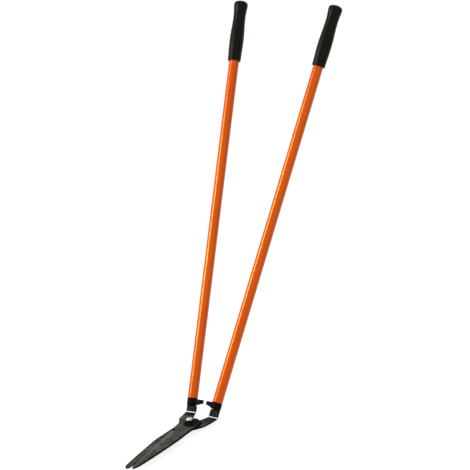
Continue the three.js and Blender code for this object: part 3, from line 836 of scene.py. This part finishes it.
def blade_rings(side):
    """Sections from the tip to the bend, each a list of points with their four marks."""
    rings = []
    start, end = SHANK_SHADE_SPAN[side]
    for right, left, ground in strip_stations(side):
        # The scale mark: the shank's black scale with painted shade, and painted shade on the
        # blade's back
        scale = share((right[1] - start) / (end - start))
        # Painted shade: the blade darkens from its cutting edge towards its back
        fall = BACK_SHADE * share(-right[1] / BACK_SHADE_REACH) / math.dist(right, left)
        ring = []
        for x, y, height, mark, rim in cross_ring(right, left, ground, *BLADE_RIM[side]):
            back = fall * (math.dist(right, (x, y)) - GRIND_WIDTH)
            point = Vector((x, y, plate_height(side, height)))
            ring.append((point, mark, rim, 0, max(scale, back)))
        rings.append(ring)
    return rings


def bar_rings(side):
    """Sections from the bend to the tang's end, each a list of points with their four marks."""
    size = heights(side)
    bar, tang = BAR_WIDTH / 2, TANG_WIDTH / 2
    shoulder = BEND_LENGTH + size["rise"]
    tang_end = BEND_LENGTH + size["sleeve_top"] - TANG_END_MARGIN
    bend = [(i + 1) / BEND_SECTIONS for i in range(BEND_SECTIONS)]
    # Place along the bar, half width, relief of both faces, and how strong the bend's painted
    # highlight is
    sections = [(0, bar, 0, 0)]
    sections += [(BEND_LENGTH * t, bar, 0, math.sin(math.pi * t) ** GLINT_POWER) for t in bend]
    sections += [
        (BEND_LENGTH + PAST_BEND, bar, 0, 0),
        (BEND_LENGTH + size["rise"] / 2, bar, 0, 0),
        (shoulder - SHOULDER_CHAMFER[0], bar, 0, 0),
        (shoulder, bar - SHOULDER_CHAMFER[1], SHOULDER_CHAMFER[2], 0),
        (shoulder + PAST_SHOULDER, tang, TANG_RELIEF, 0),
        (tang_end - TANG_CHAMFER[0], tang, TANG_RELIEF, 0),
        (tang_end, tang - TANG_CHAMFER[1], TANG_RELIEF + TANG_CHAMFER[2], 0),
    ]
    rings = []
    for along, half, relief, bend_glint in sections:
        centre = BAR_OFFSET + along * math.tan(HANDLE_SPLAY)
        ring = []
        for x, _, height, _, rim in cross_ring((centre + half, 0), (centre - half, 0), 0, *BAR_RIM):
            height = plate_height(side, min(max(height, relief), PLATE - relief))
            ring.append((on_bend(x, height, along), 0, rim * (1 - bend_glint), bend_glint, 1))
        rings.append(ring)
    return rings


def pin_place(side, setback, turn):
    """The frame of the roll pin's hole, turned about X so that its Z runs along the pin."""
    middle = Matrix.Translation((0, setback, heights(side)["pin"]))
    return handle_matrix(side) @ middle @ Matrix.Rotation(turn, 4, "X")


def lever_mesh(side):
    rings = blade_rings(side) + bar_rings(side)
    count = len(rings[0])
    corners = [corner for ring in rings for corner in ring]
    last = len(corners) - count
    faces = [list(range(count)), list(range(last, last + count))[::-1]]
    for first in range(0, last, count):
        for i in range(count):
            j = (i + 1) % count
            faces.append([first + i, first + j, first + count + j, first + count + i])
    place = lever_matrix(side) @ Matrix.Scale(side, 4, (1, 0, 0))
    mesh = mesh_from([corner[0] for corner in corners], faces, place)
    for index, name in enumerate(MARKS, 1):
        mark_points(mesh, name, [corner[index] for corner in corners])
    notch = [(EDGE_HEEL[0] * 2, NOTCH[1] + end * NOTCH_RADIUS) for end in (-1, 1)]
    notch += arc(NOTCH, NOTCH_RADIUS, NOTCH_RADIUS, 0.5, 1.5, 20)
    pin = pin_place(side, TANG_SETBACK, math.pi / 2)
    tools = [
        rod(LEVER_BORE_RADIUS, -OVERRUN, PLATE + OVERRUN, BORE_SIDES, place),
        prism(notch, -OVERRUN, PLATE + OVERRUN, place),
        rod(PIN_RADIUS + FIT, -PLATE, PLATE, PIN_SIDES, pin),
    ]
    # What the tools cut gets painted shade, like a rim
    for tool in tools:
        for name in MARKS:
            mark_points(tool, name, [float(name == "rim")] * len(tool.vertices))
    return cut(mesh, tools)


# Handles

# Widths of the grip as (share of its length, share of its belly)
GRIP_SHARES = [
    (0.03, 0.925), (0.13, 0.95), (0.23, 0.985), (0.34, 1), (0.45, 0.98), (0.55, 0.93),
    (0.65, 0.885), (0.74, 0.872), (0.82, 0.9), (0.87, 0.95), (0.91, 0.985), (0.945, 0.975),
]
# Rings round the lower tube, where its pin's hole is, their distance, and one below the grip
TUBE_RINGS, TUBE_RING_STEP = 7, 15
LAST_RING_DROP = 1


def nose_place(side):
    """In the handle's plane, the nose's end along X and its upper edge's height."""
    end = side * (CLOSED_BUFFER_GAP / 2 + BUFFER_LENGTH) - handle_origin(side).x
    top = (heights(side)["collar_top"] - NOSE_DROP) * math.cos(HANDLE_SPLAY)
    return end, top


def peg_mesh(side, radius, length):
    """A rod through the nose's end: the buffer's peg, or the tool for its hole."""
    end, top = nose_place(side)
    middle = plane_matrix(side) @ Matrix.Translation((end, 0, top - NOSE_END_HEIGHT / 2))
    turned = middle @ Matrix.Rotation(math.pi / 2, 4, "Y")
    return rod(radius, -length, length, PIN_SIDES, turned)


def collar_mesh(side):
    size = heights(side)
    low, top, spigot = size["collar_low"], size["collar_top"], size["spigot_top"]
    cup = revolved(filleted([
        (0, low, 0), (TUBE_RADIUS, low, COLLAR_ROUND), (TUBE_RADIUS, top, 0.35),
        (PLUG_RADIUS, top, 0.2), (PLUG_RADIUS, spigot, 0.6), (0, spigot, 0),
    ], 0.3, 8), RING_SIDES, handle_matrix(side))
    nose_end, nose_top = nose_place(side)
    axis = side * nose_top * math.tan(HANDLE_SPLAY)
    root = axis - side * TUBE_RADIUS
    outline = [
        (nose_end, nose_top), (axis, nose_top), (axis, nose_top - NOSE_ROOT_HEIGHT),
        (root, nose_top - NOSE_ROOT_HEIGHT), (nose_end, nose_top - NOSE_END_HEIGHT),
    ]
    upright = plane_matrix(side) @ Matrix.Rotation(math.pi / 2, 4, "X")
    nose = softened(prism(outline, -NOSE_DEPTH / 2, NOSE_DEPTH / 2, upright), NOSE_ROUND, 4)
    half_slot = (TANG_WIDTH / 2 + FIT, PLATE / 2 - TANG_RELIEF + FIT)
    slot = [
        (x * half_slot[0], TANG_SETBACK + y * half_slot[1])
        for x, y in ((-1, -1), (1, -1), (1, 1), (-1, 1))
    ]
    return cut(cut(cup, [nose], "UNION"), [
        prism(slot, low - OVERRUN, spigot + OVERRUN, handle_matrix(side)),
        peg_mesh(side, PEG_RADIUS + FIT, PEG_LENGTH + OVERRUN),
    ])


def buffer_mesh(side):
    nose_end, nose_top = nose_place(side)
    back = nose_end - side * SEAT
    front = nose_end - side * BUFFER_LENGTH
    half = NOSE_DEPTH / 2
    outline = [(back, -half), (back, half)]
    outline += arc((front + side * half, 0), -side * half, half, 0.5, -0.5, 32)
    pad = prism(outline, nose_top - NOSE_END_HEIGHT, nose_top, plane_matrix(side))
    pad = softened(pad, BUFFER_ROUND, 4, 50)
    return cut(pad, [peg_mesh(side, PEG_RADIUS, PEG_LENGTH)], "UNION")


def tube_mesh(side):
    size = heights(side)
    low, top = size["tube_low"], size["tube_top"]
    bore = TUBE_RADIUS - TUBE_WALL
    levels = [low + TUBE_RING_STEP * (i + 1) for i in range(TUBE_RINGS)]
    levels.append(size["grip_low"] - LAST_RING_DROP)
    profile = [(bore, top, 0.2), (bore, low, 0.2), (TUBE_RADIUS, low, 0.3)]
    profile += [(TUBE_RADIUS, level, 0) for level in levels] + [(TUBE_RADIUS, top, 0.3)]
    body = revolved(filleted(profile, 0.2, 3), RING_SIDES, handle_matrix(side))
    hole = pin_place(side, 0, -math.pi / 2)
    return cut(body, [rod(PIN_RADIUS + FIT, 0, TUBE_RADIUS + OVERRUN, PIN_SIDES, hole)])


def grip_mesh(side):
    bore = TUBE_RADIUS + FIT
    bore_top = GRIP_LENGTH - GRIP_END_WALL
    outer = [(across * GRIP_BELLY / 2, along * GRIP_LENGTH) for along, across in GRIP_SHARES]
    outer = spline(outer, 8)
    shoulder, height = outer[-1]
    dome = arc((0, height), shoulder, GRIP_LENGTH - height, 0, 0.5, 20)[1:-1]
    lip, lip_top = outer[0]
    mouth = filleted([
        (0, bore_top, 0), (bore, bore_top, 0.5), (bore, 0, 0.4), (lip, 0, 1.2), (lip, lip_top, 0),
    ], 0.3, 6, closed=False)
    place = handle_matrix(side) @ Matrix.Translation((0, 0, heights(side)["grip_low"]))
    return revolved([*mouth[:-1], *outer, *dome, (0, GRIP_LENGTH)], GRIP_SIDES, place)


for side, word, body, lever in (
    (-1, "left", "left_lever", "upper_lever"), (1, "right", "right_lever", "lower_lever"),
):
    for name, mesh, material, slot, node, angle in (
        (f"{lever}_blade", lever_mesh(side), BLADE_STEEL, "blade_steel", lever, 35),
        (f"{word}_collar_moulding", collar_mesh(side), NYLON, "black_nylon", f"{word}_collar", 35),
        (f"{word}_buffer_pad", buffer_mesh(side), BUFFER, "buffer_rubber", f"{word}_buffer", 35),
        (f"{word}_tube_enamel", tube_mesh(side), ENAMEL, "orange_enamel", f"{word}_tube", 30),
        (f"{word}_grip_moulding", grip_mesh(side), GRIP, "grip_rubber", f"{word}_grip", 50),
    ):
        add_piece(name, mesh, material, body, node, angle)


# Pivot

def hexagon_mesh(flats, low, high):
    """A hexagonal prism with its corners turned off at both ends."""
    corner = flats / 2 / math.cos(math.pi / 6)
    turns = [i * math.pi / 3 for i in range(6)]
    outline = [(corner * math.sin(turn), corner * math.cos(turn)) for turn in turns]
    body = softened(prism(outline, low, high), HEXAGON_ROUND, 2)
    inset = flats / 2
    wide = inset + 2 * CHAMFER
    cone = revolved([
        (0, low), (inset, low), (wide, low + CHAMFER), (wide, high - CHAMFER), (inset, high),
        (0, high),
    ], RING_SIDES)
    return cut(body, [cone], "INTERSECT")


def bolt_mesh():
    start, end = BOLT_HEAD_HEIGHT / 2, NUT_TOP_Z + BOLT_PROUD
    head = hexagon_mesh(BOLT_HEAD_FLATS, 0, BOLT_HEAD_HEIGHT)
    stem = revolved(filleted([
        (0, start, 0), (BOLT_RADIUS, start, 0), (BOLT_RADIUS, end - CHAMFER, 0.2),
        (BOLT_RADIUS - CHAMFER, end, 0.2), (0, end, 0),
    ], 0.2, 4), BORE_SIDES)
    return cut(head, [stem], "UNION")


def nut_mesh():
    hexagon_top = NUT_Z + NUT_HEX_HEIGHT
    hexagon = hexagon_mesh(NUT_FLATS, NUT_Z, hexagon_top)
    collar = revolved(filleted([
        (0, NUT_Z + CHAMFER, 0), (NUT_COLLAR_RADIUS, NUT_Z + CHAMFER, 0),
        (NUT_COLLAR_RADIUS, NUT_TOP_Z, NUT_COLLAR_ROUND), (0, NUT_TOP_Z, 0),
    ], 0.2, 6), BORE_SIDES)
    insert_low = NUT_TOP_Z - INSERT_HEIGHT - SEAT
    above = NUT_TOP_Z + OVERRUN
    nut = cut(cut(hexagon, [collar], "UNION"), [
        rod(BORE_RADIUS, NUT_Z - OVERRUN, above, BORE_SIDES),
        rod(NUT_COLLAR_RADIUS - NUT_COLLAR_WALL, insert_low, above, BORE_SIDES),
    ])
    # The hexagon gets painted shade, and the collar above it stays bright
    mark_points(nut, "dark", [float(v.co.z < (hexagon_top + 0.05) * MM) for v in nut.vertices])
    return nut


def ring_mesh(outer, low, high, rounding=0.25):
    profile = [(BORE_RADIUS, low), (outer, low), (outer, high), (BORE_RADIUS, high)]
    return revolved(filleted(profile, rounding, 4), RING_SIDES)


def washer_mesh(size, low, rounding=0.25):
    return ring_mesh(size[0] / 2, low, low + size[1], rounding)


def insert_mesh():
    outer = NUT_COLLAR_RADIUS - NUT_COLLAR_WALL - FIT
    return ring_mesh(outer, NUT_TOP_Z - INSERT_HEIGHT, NUT_TOP_Z, 0.2)


def spring_mesh():
    outer, dished = SPRING[0] / 2, SPRING_Z + SPRING_DISH
    profile = [
        (BORE_RADIUS, dished), (outer, SPRING_Z), (outer, SPRING_Z + SPRING[1]),
        (BORE_RADIUS, dished + SPRING[1]),
    ]
    return revolved(filleted(profile, 0.2, 4), RING_SIDES)


for name, mesh, material, slot, node in (
    ("pivot_bolt_turned", bolt_mesh(), ZINC, "zinc_plate", "pivot_bolt"),
    ("head_washer_ring", washer_mesh(HEAD_WASHER, HEAD_WASHER_Z),
     ZINC, "zinc_plate", "head_washer"),
    ("pivot_bush_ring", ring_mesh(BORE_RADIUS + BUSH_WALL, LOWER_Z, UPPER_Z + PLATE),
     BRONZE, "bronze", "pivot_bush"),
    ("cover_washer_ring", washer_mesh(COVER_WASHER, COVER_Z, 0.4),
     DARK_STEEL, "black_steel", "cover_washer"),
    ("disc_spring_ring", spring_mesh(), SPRING_STEEL, "black_steel", "disc_spring"),
    ("lock_nut_hexagon", nut_mesh(), ZINC, "zinc_plate", "lock_nut"),
    ("nut_insert_ring", insert_mesh(), WHITE_NYLON, "white_nylon", "nut_insert"),
):
    add_piece(name, mesh, material, "left_lever", node)

# Inner pieces keep their CAD solids under procedural materials
for node, material in (
    ("left_tang_sleeve", NYLON), ("right_tang_sleeve", NYLON),
    ("left_roll_pin", DARK_STEEL), ("right_roll_pin", DARK_STEEL),
):
    solid = frame["nodes"][node]
    solid.data.materials.clear()
    solid.data.materials.append(material)


# Camera at the photograph's viewing angle

AZIMUTH, ELEVATION, ROLL = 41.0 * DEGREE, 21.17 * DEGREE, -10.67 * DEGREE
IMAGE_PIXELS = 470
MIDDLE_PIXEL = 234.5
# The pivot's axis between the plates: its pixel in the photograph and its height
PIVOT_PIXEL = (189.88, 423.49)
PIVOT_HEIGHT = 10.85
MM_PER_PIXEL = 2.1
CAMERA_DISTANCE = 5000
SENSOR_WIDTH = 36


def camera():
    flat = math.cos(ELEVATION)
    back = Vector((math.sin(AZIMUTH) * flat, -math.cos(AZIMUTH) * flat, math.sin(ELEVATION)))
    level = Vector((math.cos(AZIMUTH), math.sin(AZIMUTH), 0))
    upright = back.cross(level)
    right = level * math.cos(ROLL) + upright * math.sin(ROLL)
    up = upright * math.cos(ROLL) - level * math.sin(ROLL)
    place = Vector((0, 0, PIVOT_HEIGHT)) + back * CAMERA_DISTANCE
    place -= right * (PIVOT_PIXEL[0] - MIDDLE_PIXEL) * MM_PER_PIXEL
    place += up * (PIVOT_PIXEL[1] - MIDDLE_PIXEL) * MM_PER_PIXEL
    data = bpy.data.cameras.new("camera")
    data.sensor_width = SENSOR_WIDTH
    data.lens = SENSOR_WIDTH * CAMERA_DISTANCE / MM_PER_PIXEL / IMAGE_PIXELS
    data.clip_start = 0.05
    data.clip_end = 60
    item = put("camera", data)
    turn = Matrix((right, up, back)).transposed()
    item.matrix_world = Matrix.Translation(place * MM) @ turn.to_4x4()
    bpy.context.scene.camera = item


# Floor, world and lamps, in metres

FLOOR_HALF = 12.0
FLOOR_DROP = 0.0005
FLOOR_GLOW = 0.85
WORLD_LIGHT = 0.56
WORLD_SEEN = 1.0


def floor():
    """A pale floor that is white where it is seen and still takes the object's shadow."""
    n = Nodes("floor")
    soft = n.noise(3, 2, 0.5)
    colour = n.ramp(soft, (0.3, (0.86, 0.86, 0.86)), (0.7, (0.88, 0.88, 0.88)))
    n.set(Base_Color=colour, Roughness=0.9)
    path = n.add("LightPath").outputs
    mirrored = n.math("MAXIMUM", path["Is Glossy Ray"], path["Is Transmission Ray"])
    seen = n.math("MAXIMUM", path["Is Camera Ray"], mirrored)
    faint = n.add("BsdfDiffuse", {"Color": (0.25, 0.25, 0.25)}).outputs["BSDF"]
    glow = n.add("Emission", {"Strength": FLOOR_GLOW}).outputs["Emission"]
    white = n.add("AddShader", {0: faint, 1: glow}).outputs["Shader"]
    mix = n.add("MixShader", {0: seen, 1: n.shader.outputs["BSDF"], 2: white})
    n.feed(n.tree.nodes["Material Output"].inputs["Surface"], mix.outputs["Shader"])
    corners = [(x * FLOOR_HALF, y * FLOOR_HALF, 0) for x, y in ((-1, -1), (1, -1), (1, 1), (-1, 1))]
    mesh = bpy.data.meshes.new("floor")
    mesh.from_pydata(corners, [], [(0, 1, 2, 3)])
    mesh.materials.append(n.material)
    item = put("floor", mesh)
    item.location.z = -FLOOR_DROP


def world():
    """White where it is seen or mirrored, and dimmer as a light."""
    made = bpy.data.worlds.new("world")
    bpy.context.scene.world = made
    made.use_nodes = True
    nodes = made.node_tree.nodes
    back = nodes["Background"]
    back.inputs["Color"].default_value = (1, 1, 1, 1)
    path = nodes.new("ShaderNodeLightPath")
    seen = nodes.new("ShaderNodeMath")
    seen.operation = "MAXIMUM"
    strength = nodes.new("ShaderNodeMapRange")
    strength.inputs["To Min"].default_value = WORLD_LIGHT
    strength.inputs["To Max"].default_value = WORLD_SEEN
    for source, target in (
        (path.outputs["Is Camera Ray"], seen.inputs[0]),
        (path.outputs["Is Glossy Ray"], seen.inputs[1]),
        (seen.outputs["Value"], strength.inputs["Value"]),
        (strength.outputs["Result"], back.inputs["Strength"]),
    ):
        made.node_tree.links.new(source, target)


def lamp(name, place, target, size, watts):
    data = bpy.data.lights.new(name, "AREA")
    data.shape = "RECTANGLE"
    data.size, data.size_y = size
    data.energy = watts
    item = put(name, data)
    item.location = place
    item.rotation_mode = "QUATERNION"
    item.rotation_quaternion = (Vector(target) - Vector(place)).to_track_quat("-Z", "Y")


camera()
floor()
world()
lamp("key_left", (-1.35, -1.33, 1.78), (0, 0.3, 0.45), (1.05, 1.0), 54)
lamp("fill_right", (2.4, -0.6, 1.6), (0, 0.2, 0.3), (2.0, 2.0), 10)
lamp("top", (0.2, 0.8, 3.2), (0, 0.2, 0.3), (2.5, 2.5), 16)

bpy.context.scene.view_settings.view_transform = "Standard"
